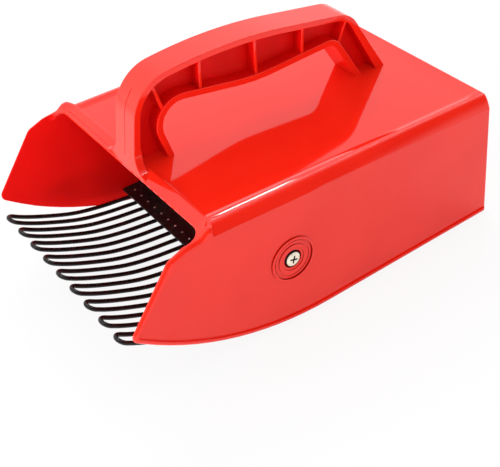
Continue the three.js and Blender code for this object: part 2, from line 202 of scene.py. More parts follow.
def prism(points, axis, low, high):
    """A closed outline drawn out along an axis from low to high."""
    place, way = PLACES[axis]
    bm = bmesh.new()
    face = bm.faces.new([bm.verts.new(place(a, b, low)) for a, b in points])
    _, verts = draw_out(bm, face, keep=True)
    bmesh.ops.translate(bm, verts=verts, vec=way * (high - low))
    return turn_out(bm)


def bar(radius, low, high, sides=64):
    """A round bar along X on the screw axis."""
    points = [(SCREW_Y + radius * cos(2 * pi * k / sides), SCREW_Z + radius * sin(2 * pi * k / sides))
              for k in range(sides)]
    return prism(points, "X", low, high)


def block(low, high):
    bm = bmesh.new()
    bmesh.ops.create_cube(bm, size=1)
    low, high = Vector(low), Vector(high)
    bmesh.ops.scale(bm, verts=bm.verts, vec=high - low)
    bmesh.ops.translate(bm, verts=bm.verts, vec=(low + high) / 2)
    return bm


def move_verts(bm, change):
    """Warps a mesh: change takes a place and gives the new one."""
    for vert in bm.verts:
        vert.co = change(vert.co)


def bevel(bm, edges, offset, segments):
    bmesh.ops.bevel(bm, geom=edges, offset=offset, offset_type="OFFSET", affect="EDGES", segments=segments,
                    profile=0.5, material=-1, clamp_overlap=False)


def mesh_of(bm, name):
    mesh = bpy.data.meshes.new(name)
    bm.to_mesh(mesh)
    bm.free()
    return mesh


def add_object(name, data):
    obj = bpy.data.objects.new(name, data)
    bpy.context.scene.collection.objects.link(obj)
    return obj


def work_object(bm):
    return add_object("work", mesh_of(bm, "work"))


def drop(obj):
    mesh = obj.data
    bpy.data.objects.remove(obj)
    bpy.data.meshes.remove(mesh)


def combine(body, shape, operation="DIFFERENCE"):
    """Joins, cuts or intersects a body with a second shape, a mesh or a work object."""
    tool = work_object(shape) if isinstance(shape, bmesh.types.BMesh) else shape
    modifier = body.modifiers.new("combine", "BOOLEAN")
    modifier.operation = operation
    modifier.solver = "EXACT"
    modifier.object = tool
    graph = bpy.context.evaluated_depsgraph_get()
    mesh = bpy.data.meshes.new_from_object(body.evaluated_get(graph))
    body.modifiers.clear()
    old = body.data
    body.data = mesh
    bpy.data.meshes.remove(old)
    drop(tool)
    return body


def opened(obj):
    """The mesh of a work object as a bmesh, with crumbs merged. The object is removed."""
    bm = bmesh.new()
    bm.from_mesh(obj.data)
    drop(obj)
    bmesh.ops.remove_doubles(bm, verts=bm.verts, dist=TOUCH)
    bmesh.ops.dissolve_degenerate(bm, dist=TOUCH, edges=bm.edges)
    bmesh.ops.dissolve_limit(bm, angle_limit=radians(FLAT), verts=bm.verts, edges=bm.edges,
                             use_dissolve_boundaries=False, delimit=set())
    bm.normal_update()
    return bm


def soften(bm, width, segments=3, limit=TURN, convex_only=True, where=None):
    """Rounds the sharp edges of a mesh."""
    bm.normal_update()
    edges = [edge for edge in bm.edges
             if len(edge.link_faces) == 2
             and edge.calc_face_angle() > radians(limit)
             and (edge.is_convex or not convex_only)
             and (where is None or where(edge))]
    bevel(bm, edges, width, segments)
    return bm


def join(parts):
    """Puts closed shapes that overlap into one mesh."""
    whole = bmesh.new()
    for part in parts:
        mesh = mesh_of(part, "join")
        whole.from_mesh(mesh)
        bpy.data.meshes.remove(mesh)
    return whole


def finish_piece(bm, name, materials, nodes):
    """Makes a piece of a mesh drawn in millimetres and hands it to the frame."""
    bm.normal_update()
    for face in bm.faces:
        face.smooth = True
    for edge in bm.edges:
        if len(edge.link_faces) == 2 and edge.calc_face_angle() > radians(SHARP):
            edge.smooth = False
    bmesh.ops.transform(bm, matrix=TO_CAD, verts=bm.verts)
    mesh = mesh_of(bm, name)
    for material in materials:
        mesh.materials.append(material)
    piece = add_object(name, mesh)
    weighted = piece.modifiers.new("even_shading", "WEIGHTED_NORMAL")
    weighted.keep_sharp = True
    weighted.weight = 60
    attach(piece, "root")
    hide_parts(*nodes)


_, high_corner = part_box("hood")
TO_CAD = Matrix.Translation((0, high_corner[1] - HOOD_LENGTH * MM, 0)) @ Matrix.Scale(MM, 4)


# Camera

def make_camera():
    data = bpy.data.cameras.new("photo_camera")
    data.sensor_width = SENSOR
    data.lens = LENS
    data.clip_start = 0.02
    data.clip_end = 20
    camera = add_object("photo_camera", data)
    matrix = Matrix((CAMERA_RIGHT, CAMERA_UP, CAMERA_BACK)).transposed().to_4x4()
    matrix.translation = TO_CAD @ Vector(CAMERA_PLACE)
    camera.matrix_world = matrix
    bpy.context.scene.camera = camera


make_camera()


# Materials

FLOAT, VECTOR = "NodeSocketFloat", "NodeSocketVector"
SKIN_INPUTS = ("Wave Size", "Wave Height", "Grain Size", "Grain Height")
MIX_FIRST, MIX_SECOND, MIX_RESULT = 6, 7, 2  # the colour sockets of a Mix node


def make_group(name, inputs, outputs):
    group = bpy.data.node_groups.new(name, "ShaderNodeTree")
    for label, value in inputs.items():
        group.interface.new_socket(name=label, in_out="INPUT", socket_type=FLOAT).default_value = value
    for label, kind in outputs.items():
        group.interface.new_socket(name=label, in_out="OUTPUT", socket_type=kind)
    return group, group.nodes.new("NodeGroupInput"), group.nodes.new("NodeGroupOutput")


def node(tree, kind, settings=None, inputs=None):
    """Adds a node. Each input is given a socket to link or a value to keep."""
    made = tree.nodes.new(kind)
    for key, value in (settings or {}).items():
        setattr(made, key, value)
    for key, value in (inputs or {}).items():
        if isinstance(value, bpy.types.NodeSocket):
            tree.links.new(value, made.inputs[key])
        else:
            made.inputs[key].default_value = value
    return made


def math_value(tree, operation, *values):
    return node(tree, "ShaderNodeMath", {"operation": operation}, dict(enumerate(values))).outputs["Value"]


def map_value(tree, value, low, high, to_low=0, to_high=1, curve="LINEAR"):
    made = node(tree, "ShaderNodeMapRange", {"interpolation_type": curve}, {
        "Value": value, "From Min": low, "From Max": high, "To Min": to_low, "To Max": to_high})
    return made.outputs["Result"]


def mix_color(tree, factor, first, second):
    """A colour between two others, each given as a socket or as red, green and blue."""
    first, second = (shade if isinstance(shade, bpy.types.NodeSocket) else (*shade, 1) for shade in (first, second))
    made = node(tree, "ShaderNodeMix", {"data_type": "RGBA"}, {
        "Factor": factor, MIX_FIRST: first, MIX_SECOND: second})
    return made.outputs[MIX_RESULT]


def noise(tree, place, scale, detail, roughness):
    return node(tree, "ShaderNodeTexNoise", {}, {
        "Vector": place, "Scale": scale, "Detail": detail, "Roughness": roughness}).outputs["Fac"]


def make_skin_group():
    """Large soft waves and a fine grain, as on any moulded or coated surface."""
    group, start, end = make_group(
        "surface_skin", dict(zip(SKIN_INPUTS, (40.0, 0.1, 1500.0, 0.02))),
        {"Normal": VECTOR, "Wave": FLOAT, "Grain": FLOAT})
    place = node(group, "ShaderNodeTexCoord").outputs["Object"]
    wave = noise(group, place, start.outputs["Wave Size"], 1.0, 0.4)
    grain = noise(group, place, start.outputs["Grain Size"], 3.0, 0.6)
    soft = node(group, "ShaderNodeBump", {}, {
        "Height": wave, "Distance": 0.001, "Strength": start.outputs["Wave Height"]})
    fine = node(group, "ShaderNodeBump", {}, {
        "Height": grain, "Distance": 0.0001, "Strength": start.outputs["Grain Height"],
        "Normal": soft.outputs["Normal"]})
    group.links.new(fine.outputs["Normal"], end.inputs["Normal"])
    group.links.new(wave, end.inputs["Wave"])
    group.links.new(grain, end.inputs["Grain"])
    return group


def make_wear_group():
    """Rubbed edges and a breath of dust in the corners."""
    group, start, end = make_group("wear_and_dust", {"Break Up": 300.0}, {"Edge": FLOAT, "Dust": FLOAT})
    place = node(group, "ShaderNodeTexCoord").outputs["Object"]
    patches = noise(group, place, start.outputs["Break Up"], 4.0, 0.65)
    pointed = node(group, "ShaderNodeNewGeometry").outputs["Pointiness"]
    edge = math_value(group, "MULTIPLY", map_value(group, pointed, 0.52, 0.62), map_value(group, patches, 0.45, 0.7))
    dust = math_value(group, "MULTIPLY", map_value(group, pointed, 0.49, 0.4), patches)
    group.links.new(edge, end.inputs["Edge"])
    group.links.new(dust, end.inputs["Dust"])
    return group


SKIN = make_skin_group()
WEAR = make_wear_group()


def new_material(name):
    material = bpy.data.materials.new(name)
    material.use_nodes = True
    tree = material.node_tree
    return material, tree, tree.nodes["Principled BSDF"]


def use_group(tree, group, values):
    return node(tree, "ShaderNodeGroup", {"node_tree": group}, values)


def make_finish(name, skin_values, tones, rough, fixed, tone_range=(0.35, 0.65), wear=None):
    """A material whose colour and roughness drift over the surface, each between two values.

    wear gives an output of the wear group, its break-up, its strength and the colour that it lays over the rest.
    """
    material, tree, shader = new_material(name)
    skin = use_group(tree, SKIN, dict(zip(SKIN_INPUTS, skin_values)))
    shade = mix_color(tree, map_value(tree, skin.outputs["Wave"], *tone_range), *tones)
    if wear:
        output, break_up, strength, worn_shade = wear
        worn = use_group(tree, WEAR, {"Break Up": break_up}).outputs[output]
        shade = mix_color(tree, map_value(tree, worn, 0, 1, 0, strength), shade, worn_shade)
    tree.links.new(shade, shader.inputs["Base Color"])
    if rough:
        tree.links.new(map_value(tree, skin.outputs["Grain"], 0.3, 0.7, *rough), shader.inputs["Roughness"])
    tree.links.new(skin.outputs["Normal"], shader.inputs["Normal"])
    for label, value in fixed.items():
        shader.inputs[label].default_value = value
    return material


RED = make_finish(
    "red_plastic", (28.0, 0.035, 2600.0, 0.03), ((0.88, 0.016, 0.006), (0.92, 0.02, 0.0075)), (0.035, 0.06),
    {"IOR": 1.5})
# The inside of the moulding isn't polished, and its red is painted a little darker and deeper, as the shade inside
# the hood
RED_INSIDE_SHADED = make_finish(
    "red_plastic_inside_painted_shade", (40.0, 0.05, 3000.0, 0.2), ((0.82, 0.003, 0.002), (0.87, 0.004, 0.0025)), (0.5, 0.62),
    {"Specular IOR Level": 0.15})
# The hollows of the handle keep the texture of the mould, and their red is painted darker, as the shade in the
# hollows
RED_RECESS_SHADED = make_finish(
    "red_plastic_recess_painted_shade", (60.0, 0.08, 2200.0, 0.3), ((0.68, 0.0025, 0.0015), (0.76, 0.0035, 0.002)), (0.38, 0.5),
    {"Specular IOR Level": 0.2})
# Narrow grooves and holes in the plastic hardly get any light
RED_DEEP = make_finish(
    "red_plastic_grooves", (60.0, 0.08, 2200.0, 0.3), ((0.2, 0.001, 0.001), (0.28, 0.002, 0.001)), None,
    {"Roughness": 0.5, "Specular IOR Level": 0.1})
BLACK = make_finish(
    "coated_steel", (180.0, 0.12, 1800.0, 0.25), ((0.004, 0.003, 0.0032), (0.008, 0.006, 0.0065)), (0.26, 0.4),
    {"Specular IOR Level": 0.35}, (0.3, 0.7), ("Edge", 500.0, 0.3, (0.12, 0.11, 0.11)))
# The spot welds are painted pale grey, as the sheen of light on their small domes
WELD_SHEEN = make_finish(
    "weld_painted_sheen", (900.0, 0.3, 4000.0, 0.4), ((0.42, 0.4, 0.4), (0.7, 0.66, 0.66)), (0.35, 0.5),
    {"Metallic": 0.6}, (0.3, 0.7))
ZINC = make_finish(
    "plated_steel", (700.0, 0.2, 5200.0, 0.5), ((1.0, 0.93, 0.7), (1.0, 0.96, 0.8)), (0.24, 0.42),
    {"Metallic": 0.6}, wear=("Dust", 900.0, 1.0, (0.3, 0.24, 0.15)))
# The cross in the screw heads and the sides of the heads, painted nearly black as the shade in the cross and in the
# gap round the head
ZINC_SHADED = make_finish(
    "plated_steel_painted_shade", (700.0, 0.2, 5200.0, 0.5), ((0.008, 0.005, 0.003), (0.02, 0.014, 0.009)), None,
    {"Roughness": 0.6})


# Hood: top with its rolled edges

def top_at(y):
    return LIP_HEIGHT - TOP_SLOPE * y


def share(value, low, high):
    return min(1.0, max(0.0, (value - low) / (high - low)))


def between(amount, first, second):
    return first + (second - first) * amount


ROLL_HALF = 68.05
ROLL_WIDTH = 5.1
ROLL_SPREAD = 1.45  # the rolled edge is this much wider at the front
ROLL_LOW, ROLL_HIGH = 4.8, 7.4  # its height at the front and at the rear
ROLL_BULGE = 2.1  # how full its profile is
ROLL_STEPS = 16
ROLL_REAR = HOOD_LENGTH - REAR_SETBACK
CREST_DROP = 0.3  # the rolled edge lies this much below the collar
LID_DEPTH = 8.0
LID_CUTS = (20, 35, 50, 65, 80, 95, 125)  # extra loops of edges, over which it bends
LID_TURN = 54  # like TURN, for the lid
LID_EASE = 0.28
LID_GAP = 0.12  # the inside of the lid lies this far outside that of the walls
LID_CEILING, CEILING = 2.75, 2.9  # underside of the top below the lip, in the lid and in the walls
TUCK = 0.4  # the lower end of the lid goes this far into the wall
COLLAR_TUCK = 0.5  # and its front end this far into the collar
HOLLOW_ROUND = 3.2

# The top panel
PANEL_FRONT, PANEL_FRONT_HALF = 4.5, 60.1
PANEL_REAR, PANEL_REAR_HALF = 172.0, 62.45
PANEL_FILLET = 3.4  # width of the hollow fillet round it
PANEL_BEND = 1.5  # how soon the fillet gets steep
PANEL_RISE, PANEL_LIFT = 157.0, 1.3  # from here to its rear the panel rises, by this many times its drop


def lid_place(co):
    """Takes the flat lid to its sloping place. The rolled edge gets wider and lower towards the front."""
    side = 1 if co.x > 0 else -1
    x, y, depth = abs(co.x), co.y, -co.z
    rise = asin(min(1.0, max(0.0, 1 - depth / ROLL_WIDTH)))
    inner = rise / (pi / 2)
    shift = ROLL_WIDTH * (inner - (1 - cos(rise)))
    if depth > ROLL_WIDTH:
        shift = TUCK * (depth - ROLL_WIDTH) / (LID_DEPTH - ROLL_WIDTH)
        if y > ROLL_REAR - TOUCH:
            y -= shift
    if x > ROLL_HALF - ROLL_WIDTH - TOUCH:
        x -= shift
    along = share(y, 0, HOOD_LENGTH)
    height = between(along, ROLL_LOW, ROLL_HIGH)
    if depth < ROLL_WIDTH:
        depth = height * (1 - inner) ** ROLL_BULGE
    else:
        depth += height - ROLL_WIDTH
    if x > ROLL_HALF / 2:
        x = ROLL_HALF - (ROLL_HALF - x) * between(along, ROLL_SPREAD, 1.0)
    return Vector((side * x, y, top_at(y) - CREST_DROP - depth))


def hollow(half, ceiling, rear):
    """The inside of the hood."""
    section = four_corners(half, -FAR, half, LIP_HEIGHT - ceiling, HOLLOW_ROUND, 8)
    bm = prism(section, "Y", AHEAD, rear)
    move_verts(bm, lambda co: Vector((co.x, co.y, co.z - TOP_SLOPE * co.y)) if co.z > UPPER else co)
    return bm


def make_pocket():
    """The top panel lies a step lower than the rolled edges, with a wide hollow fillet all round."""
    bm = prism(four_corners(PANEL_FRONT_HALF, PANEL_FRONT, PANEL_REAR_HALF, PANEL_REAR), "Z", -PANEL_FILLET, FAR / 2)
    edges = [edge for edge in bm.edges if all(vert.co.z < 0 for vert in edge.verts)]
    edges += [edge for edge in bm.edges if abs(edge.verts[0].co.z - edge.verts[1].co.z) > 1]
    bevel(bm, edges, PANEL_FILLET, 8)
    cut_across(bm, PANEL_RISE)

    def lay(co):
        z = co.z
        if z < 0:
            inward = 1 - max(0.0, 1 - (z / PANEL_FILLET) ** 2) ** 0.5
            z = -PANEL_DROP * (1 - (1 - inward) ** PANEL_BEND)
        run_out = PANEL_LIFT * PANEL_DROP * share(co.y, PANEL_RISE, PANEL_REAR)
        return Vector((co.x, co.y, z + run_out + top_at(co.y) - CREST_DROP))

    move_verts(bm, lay)
    return bm


# Rear edge of the collar on one side, which curves forward at the corner
COLLAR_END = [(58.0, 7.0), (61.0, 6.8), (63.4, 6.3), (65.4, 5.55), (67.0, 4.75), (68.2, 4.0), (69.2, 3.5), (85, 3.5)]


def make_lid():
    """The top of the hood behind the collar, with the edges rolled over to both sides."""
    bm = prism(four_corners(ROLL_HALF, 0, ROLL_HALF, ROLL_REAR), "Z", -LID_DEPTH, 0)
    upper = [edge for edge in bm.edges if abs(edge.verts[0].co.y - edge.verts[1].co.y) > 1
             and all(vert.co.z > -TOUCH for vert in edge.verts)]
    bevel(bm, upper, ROLL_WIDTH, ROLL_STEPS)
    for y in LID_CUTS:
        cut_across(bm, y)
    move_verts(bm, lid_place)
    turn_out(bm)
    soften(bm, REAR_ROUND, 5, limit=LID_TURN, where=lambda edge: all(
        vert.co.y > ROLL_REAR - TUCK - TOUCH for vert in edge.verts) and max(
        vert.co.z for vert in edge.verts) > REAR_HEIGHT - LID_DEPTH)
    lid = work_object(bm)
    combine(lid, make_pocket())
    collar = [(ACROSS, -FAR)] + [(x, y - COLLAR_TUCK) for x, y in COLLAR_END[::-1]]
    combine(lid, prism(both_sides(collar), "Z", UPPER, ABOVE))
    combine(lid, hollow(INNER_HALF + LID_GAP, LID_CEILING, INNER_REAR + LID_GAP))
    return soften(opened(lid), LID_EASE, limit=LID_TURN)


# Hood: walls, wings and collar

SIDE_END = 182.0  # the outline of the sides runs on to here, behind the hood
# Side view of the walls and wings: Y, Z and the radius of each corner
SIDE_OUTLINE = [
    (8.0, top_at(8.0), 0), (2.0, 78.15, 4.6), (-1.8, 75.4, 3), (-10.2, 74.5, 9), (-18.9, 71.5, 6),
    (-43.3, 40.4, 4), (5.2, 0, 157), (SIDE_END, 0, 0), (SIDE_END, 63.8, 0), (8.0, 74.2, 0),
]
COVERED_FROM, COVERED_LOW, COVERED_HIGH = 2.9, 63.0, 77.5  # where the top covers the edge of the walls
BEAD_WIDTH = 2.6
RIM = 2.1  # rounding of the rims of the side walls
BROW = 3.2  # the same over the brow of the wings
BROW_DEEPER = 1.15  # the rounding also goes this much deeper sideways there
BROW_LOW, BROW_HIGH = 57.0, 67.0  # it grows between these heights
BROW_FRONT, BROW_REAR = 6.0, 9.0  # and fades out between these places
MOUTH_HALF = 66.3  # inner faces of the wings at the lip
NOSE_HALF = 67.2  # and at their front,
NOSE_REACH = 45.0  # this far ahead of the lip
MOUTH_ROUND = 7.5
MOUTH_LOW = 65.0  # the rounded corners of the mouth start from here
TAPER_TOP = 71.8  # and the taper of the wings ends here
TAPER_REAR = 12.0

# Upper line of the layer cut off the walls: down behind the collar, forward under the brow and down the nose
FIELD_RIDGE = [(9.0, 90.0), (9.0, 73.4), (3.3, 73.4), (2.5, 72.2), (1.4, 70.8), (-0.4, 69.5), (-2.8, 68.9),
               (-5.5, 68.6), (-10.8, 67.9), (-14.5, 66.9), (-18.0, 65.0), (-22.6, 60.6)]
# Its other edges, before they are moved in by the width of the bead
FIELD_EDGE = [(-18.7, 71.6, 0), (-43.3, 40.4, 4), (5.2, 0, 157), (195, 0, 0), (195, 90, 0)]
FIELD_MEET = 56.0  # the upper line takes over above this height
# Y and Z of the slope from the lip up to the collar
LIP_SLOPE = [(0, 76.4), (5.9, 77.95), (6.5, 78.07), (7.2, 78.16), (7.5, 78.18), (7.5, 95)]

# The groove along the collar, its ends, the bore for a boss, and the ledge and lugs that hold the pan
GROOVE = [(1.55, 76.35), (2.2, 76.5), (2.5, 79), (1.25, 79)]
GROOVE_FAR, GROOVE_NEAR = -59.3, -18.7
BOSS_BORE = 7.0
SEAT_TUCK = 0.5
LEDGE_HALF, LEDGE_FRONT, LEDGE_LOW, LEDGE_HIGH = 50, 160.7, 0.2, 2.7
LUG_PLACE, LUG_HALF, LUG_FRONT, LUG_LOW, LUG_HIGH = 35, 6, 163.2, 12.3, 15.3

# Which faces look into the hood: how far they turn sideways, forward or down, and where rear and ceiling begin
INNER_SIDEWAYS, INNER_FORWARD, INNER_DOWN = 0.93, 0.8, 0.5
INNER_REAR_FROM, INNER_CEILING_FROM = 150.0, 60.0


def closest_on(spot, start, end):
    """The place on a line from start to end that is nearest to spot."""
    way = end - start
    along = min(1.0, max(0.0, (spot - start).dot(way) / way.length_squared))
    return start + way * along


def make_side_body():
    """The side outline drawn out over the full width, with its outer edges rounded like a pillow."""
    points = round_corners(SIDE_OUTLINE)
    bm = prism(points, "X", -BEAD_HALF, BEAD_HALF)

    def on_rim(edge):
        first, second = (vert.co for vert in edge.verts)
        if abs(first.x - second.x) > 1:
            return False
        low, high = sorted((first.z, second.z))
        covered = min(first.y, second.y) > COVERED_FROM and high > COVERED_LOW and low < COVERED_HIGH
        return not covered and min(first.y, second.y) < SIDE_END - 1

    bevel(bm, [edge for edge in bm.edges if on_rim(edge)], RIM, 8)
    chain = [Vector((point[0], point[1])) for point in points]

    def widen(co):
        """The rounding grows over the brow of the wing, where the collar runs down into it."""
        amount = share(co.z, BROW_LOW, BROW_HIGH) * (1 - share(co.y, BROW_FRONT, BROW_REAR))
        if amount == 0 or abs(co.x) < BEAD_HALF - RIM - TOUCH:
            return co
        spot = Vector((co.y, co.z))
        edge_spot = min((closest_on(spot, chain[index - 1], chain[index]) for index in range(len(chain))),
                        key=lambda place: (place - spot).length)
        grow = between(amount, 1, BROW / RIM)
        moved = edge_spot + (spot - edge_spot) * grow
        x = BEAD_HALF - (BEAD_HALF - abs(co.x)) * between(amount, 1, BROW_DEEPER)
        return Vector((x if co.x > 0 else -x, moved.x, moved.y))

    move_verts(bm, widen)
    return turn_out(bm)


def plan_block(half, rear, radius):
    """A high block with two round rear corners that runs ahead of the wings."""
    return prism(four_corners(half, AHEAD, half, rear, radius), "Z", -2 * FAR, 2 * LIP_HEIGHT)


def make_field():
    """The layer outside the walls that is cut off, so that the bead stands proud along their edges."""
    inner = [point for point in round_corners(offset_corners(FIELD_EDGE, BEAD_WIDTH)) if point.y < FIELD_MEET]
    outline = [Vector(spot) for spot in FIELD_RIDGE] + inner + [Vector(FIELD_EDGE[-1][:2])]
    field = work_object(prism(outline, "X", -ACROSS, ACROSS))
    return combine(field, plan_block(WALL_HALF, WALL_REAR, REAR_ROUND))


def make_collar_end():
    """Cuts the rear edge of the collar, and the walls behind it down to the lower line of the rolled edge."""
    bm = prism(both_sides(COLLAR_END + [(ACROSS, SIDE_END + FAR)]), "Z", UPPER, ABOVE)
    move_verts(bm, lambda co: co if co.z > UPPER else Vector((
        co.x, co.y, top_at(co.y) - CREST_DROP - between(co.y / HOOD_LENGTH, ROLL_LOW, ROLL_HIGH) - 0.05)))
    return bm


def wing_inner(y):
    """Half the distance between the wings, which get thinner towards their front."""
    return MOUTH_HALF - (NOSE_HALF - MOUTH_HALF) * y / NOSE_REACH


def make_wing_taper():
    """Cuts the inner faces of the wings, which slant back to the faces of the walls."""
    right = [(wing_inner(AHEAD), AHEAD), (MOUTH_HALF, 0), (INNER_HALF, TAPER_REAR)]
    return prism(both_sides(right), "Z", -FAR, TAPER_TOP)


def make_mouth():
    """The open front. Above the lip it leans back, so that the collar slopes down to the lip."""
    outline = four_corners(wing_inner(AHEAD), AHEAD, MOUTH_HALF, 0, MOUTH_ROUND, 12)
    bm = prism(outline, "Z", MOUTH_LOW, LIP_SLOPE[0][1])
    bm.normal_update()
    face = max(bm.faces, key=lambda item: item.calc_center_median().z)
    for (y_from, z_from), (y_to, z_to) in zip(LIP_SLOPE, LIP_SLOPE[1:]):
        face, verts = draw_out(bm, face)
        bmesh.ops.translate(bm, verts=verts, vec=(0, y_to - y_from, z_to - z_from))
    return turn_out(bm)


# Faces that look into the hood, which take the inside red with its painted shade
def looks_inside(place, way):
    between_walls = abs(place.x) < INNER_HALF
    wall = abs(place.x) < WALL_HALF - EASE and place.x * way.x < 0 and abs(way.x) > INNER_SIDEWAYS
    ceiling = between_walls and place.z > INNER_CEILING_FROM and way.z < -INNER_DOWN
    rear = between_walls and place.y > INNER_REAR_FROM and way.y < -INNER_FORWARD
    return wall or ceiling or rear


def make_walls():
    body = work_object(make_side_body())
    combine(body, plan_block(BEAD_HALF, HOOD_LENGTH, BEAD_ROUND), "INTERSECT")
    for cutter in (make_field(), make_collar_end(), hollow(INNER_HALF, CEILING, INNER_REAR), make_mouth(),
                   make_wing_taper(), prism(GROOVE, "X", GROOVE_FAR, GROOVE_NEAR), bar(BOSS_BORE, -ACROSS, ACROSS)):
        combine(body, cutter)
    walls = soften(opened(body), EASE)
    rear = INNER_REAR + SEAT_TUCK
    seats = [block((-LEDGE_HALF, LEDGE_FRONT, LEDGE_LOW), (LEDGE_HALF, rear, LEDGE_HIGH))]
    seats += [block((x - LUG_HALF, LUG_FRONT, LUG_LOW), (x + LUG_HALF, rear, LUG_HIGH))
              for x in (-LUG_PLACE, LUG_PLACE)]
    return join([walls] + [soften(seat, EASE) for seat in seats])


# Hood: handle

def sunk_foot(setback, head, sink):
    """Where a leg of the handle ends, this far below the top panel, on its way down from the corner above it."""
    level = top_at(setback) - PANEL_DROP
    lean = (setback - head[0]) / (head[1] - level)
    return (setback + lean * sink, level - sink, 0)


# Side view of the handle and of the finger opening: Y, Z and the radius of each corner
LEG_FOOT_Y, LEG_FOOT_Z = 0.15, 75.9
LEG_SINK = 2.3
BOW_REAR_HEAD = (BOW_REACH - 20, BOW_TOP - 14.1, 15)
BOW_FRONT_HEAD = (8.5, BOW_TOP - 3.5, 22)
BOW_OUTLINE = [sunk_foot(BOW_REACH, BOW_REAR_HEAD, LEG_SINK), BOW_REAR_HEAD, (0.4 * BOW_REACH, BOW_TOP, 235),
               BOW_FRONT_HEAD, (LEG_FOOT_Y, LEG_FOOT_Z, 0)]
GRIP_FRONT, GRIP_REAR = 22.2, BOW_REACH - 18.8
GRIP_SINK = 6.0
GRIP_REAR_HEAD = (GRIP_REAR - 12.9, BOW_TOP - 26.6, 6)
GRIP_FRONT_HEAD = (GRIP_FRONT - 7, BOW_TOP - 16.3, 11)
GRIP_OUTLINE = [sunk_foot(GRIP_REAR, GRIP_REAR_HEAD, GRIP_SINK), GRIP_REAR_HEAD,
                (0.473 * BOW_REACH, BOW_TOP - 27.5, 100), GRIP_FRONT_HEAD,
                sunk_foot(GRIP_FRONT, GRIP_FRONT_HEAD, GRIP_SINK)]
# Lower and upper end of each rib
RIBS = [((23.0, 91.5), (15.9, 122)), ((40.5, 91.5), (43.5, 122)), ((72.0, 91.5), (73.9, 122)),
        ((99.0, 91.5), (102.5, 122)), ((120.5, 91.5), (129.3, 108))]
FLANGE = 3.0  # width of the band along the outside of the handle
GRIP_FLANGE = 3.2  # and of the one round the opening
WEB_HALF = 1.3
RIB = 1.6
RIB_SETBACK = 0.7  # the ribs stop this far inside the bands
RECESS_HALF = 7.7  # what is nearer the middle than this belongs to the recess
RECESS_SINK = 4.0  # the recess runs this far down into the feet
HANDLE_EASE = 0.32
FLARE = 9.5  # radius of the hollow fillet between the front band and the collar
FLARE_LOW = 77.0
FLARE_STEPS = 12
FLARE_DEPTH = 4.0
PARTING_DEPTH, PARTING_HALF, PARTING_OUT = 0.28, 0.2, 1.0
PARTING_REACH = 12.0  # the parting line stays in front of here
PARTING_LOW, PARTING_HIGH = 75.0, 113.5


def make_recess(side):
    """The hollow between the two bands on one side of the handle, less the ribs that cross it."""
    low, high = sorted((side * WEB_HALF, side * (BOW_HALF + FAR)))
    feet = (0, len(BOW_OUTLINE) - 1)
    deep = [(a, b - RECESS_SINK if index in feet else b, radius)
            for index, (a, b, radius) in enumerate(offset_corners(BOW_OUTLINE, FLANGE))]
    recess = work_object(prism(round_corners(deep), "X", low, high))
    combine(recess, prism(round_corners(offset_corners(GRIP_OUTLINE, -GRIP_FLANGE)), "X", *sorted(
        (0, side * (BOW_HALF + 2 * FAR)))))
    for foot, head in RIBS:
        half = RIB / 2
        outline = [(foot[0] - half, foot[1]), (foot[0] + half, foot[1]), (head[0] + half, head[1]),
                   (head[0] - half, head[1])]
        combine(recess, prism(outline, "X", *sorted((0, side * (BOW_HALF - RIB_SETBACK)))))
    return recess


def make_flare():
    """The front band runs out sideways into the collar with a hollow fillet on each side."""
    arc = []
    for step in range(FLARE_STEPS + 1):
        angle = pi / 2 * step / FLARE_STEPS
        arc.append((BOW_HALF + FLARE - FLARE * sin(angle), FLARE_LOW + FLARE - FLARE * cos(angle)))
    points = both_sides([(BOW_HALF + FLARE, LEG_FOOT_Z)] + arc)
    bm = prism(points, "Y", LEG_FOOT_Y, LEG_FOOT_Y + FLARE_DEPTH)
    lean = (BOW_FRONT_HEAD[0] - LEG_FOOT_Y) / (BOW_FRONT_HEAD[1] - LEG_FOOT_Z)
    move_verts(bm, lambda co: Vector((co.x, co.y + lean * (co.z - LEG_FOOT_Z), co.z)))
    return bm


def inside_outline(spot, points):
    """Whether a line from the spot crosses an odd number of sides of the outline."""
    crossed = False
    for index, point in enumerate(points):
        before = points[index - 1]
        if (before.y > spot.y) != (point.y > spot.y):
            if spot.x < before.x + (spot.y - before.y) / (point.y - before.y) * (point.x - before.x):
                crossed = not crossed
    return crossed


def is_in_recess(place):
    """Whether a place lies between the two bands, or no more than a hair inside them."""
    hair = 0.1
    spot = Vector((place.y, place.z))
    outer = round_corners(offset_corners(BOW_OUTLINE, FLANGE - hair))
    inner = round_corners(offset_corners(GRIP_OUTLINE, hair - GRIP_FLANGE))
    return inside_outline(spot, outer) and not inside_outline(spot, inner)


def make_parting_line():
    """A thin groove up the middle of the front band, where the halves of the mould meet."""
    sides = [[point for point in round_corners(offset_corners(BOW_OUTLINE, inward), 24)
              if point.x < PARTING_REACH and PARTING_LOW < point.y < PARTING_HIGH]
             for inward in (PARTING_DEPTH, -PARTING_OUT)]
    return prism(sides[0] + sides[1][::-1], "X", -PARTING_HALF, PARTING_HALF)


def make_handle():
    bow = work_object(prism(round_corners(BOW_OUTLINE, 20), "X", -BOW_HALF, BOW_HALF))
    combine(bow, make_recess(1))
    combine(bow, make_recess(-1))
    combine(bow, prism(round_corners(GRIP_OUTLINE), "X", -BOW_HALF - FAR, BOW_HALF + FAR))
    combine(bow, make_flare(), "UNION")
    handle = work_object(soften(opened(bow), HANDLE_EASE))
    combine(handle, make_parting_line())
    # Faces in the recess between the bands take the red painted darker as shade
    return paint(opened(handle), lambda place, way: abs(place.x) < RECESS_HALF and is_in_recess(place))


# Hood: screw bosses

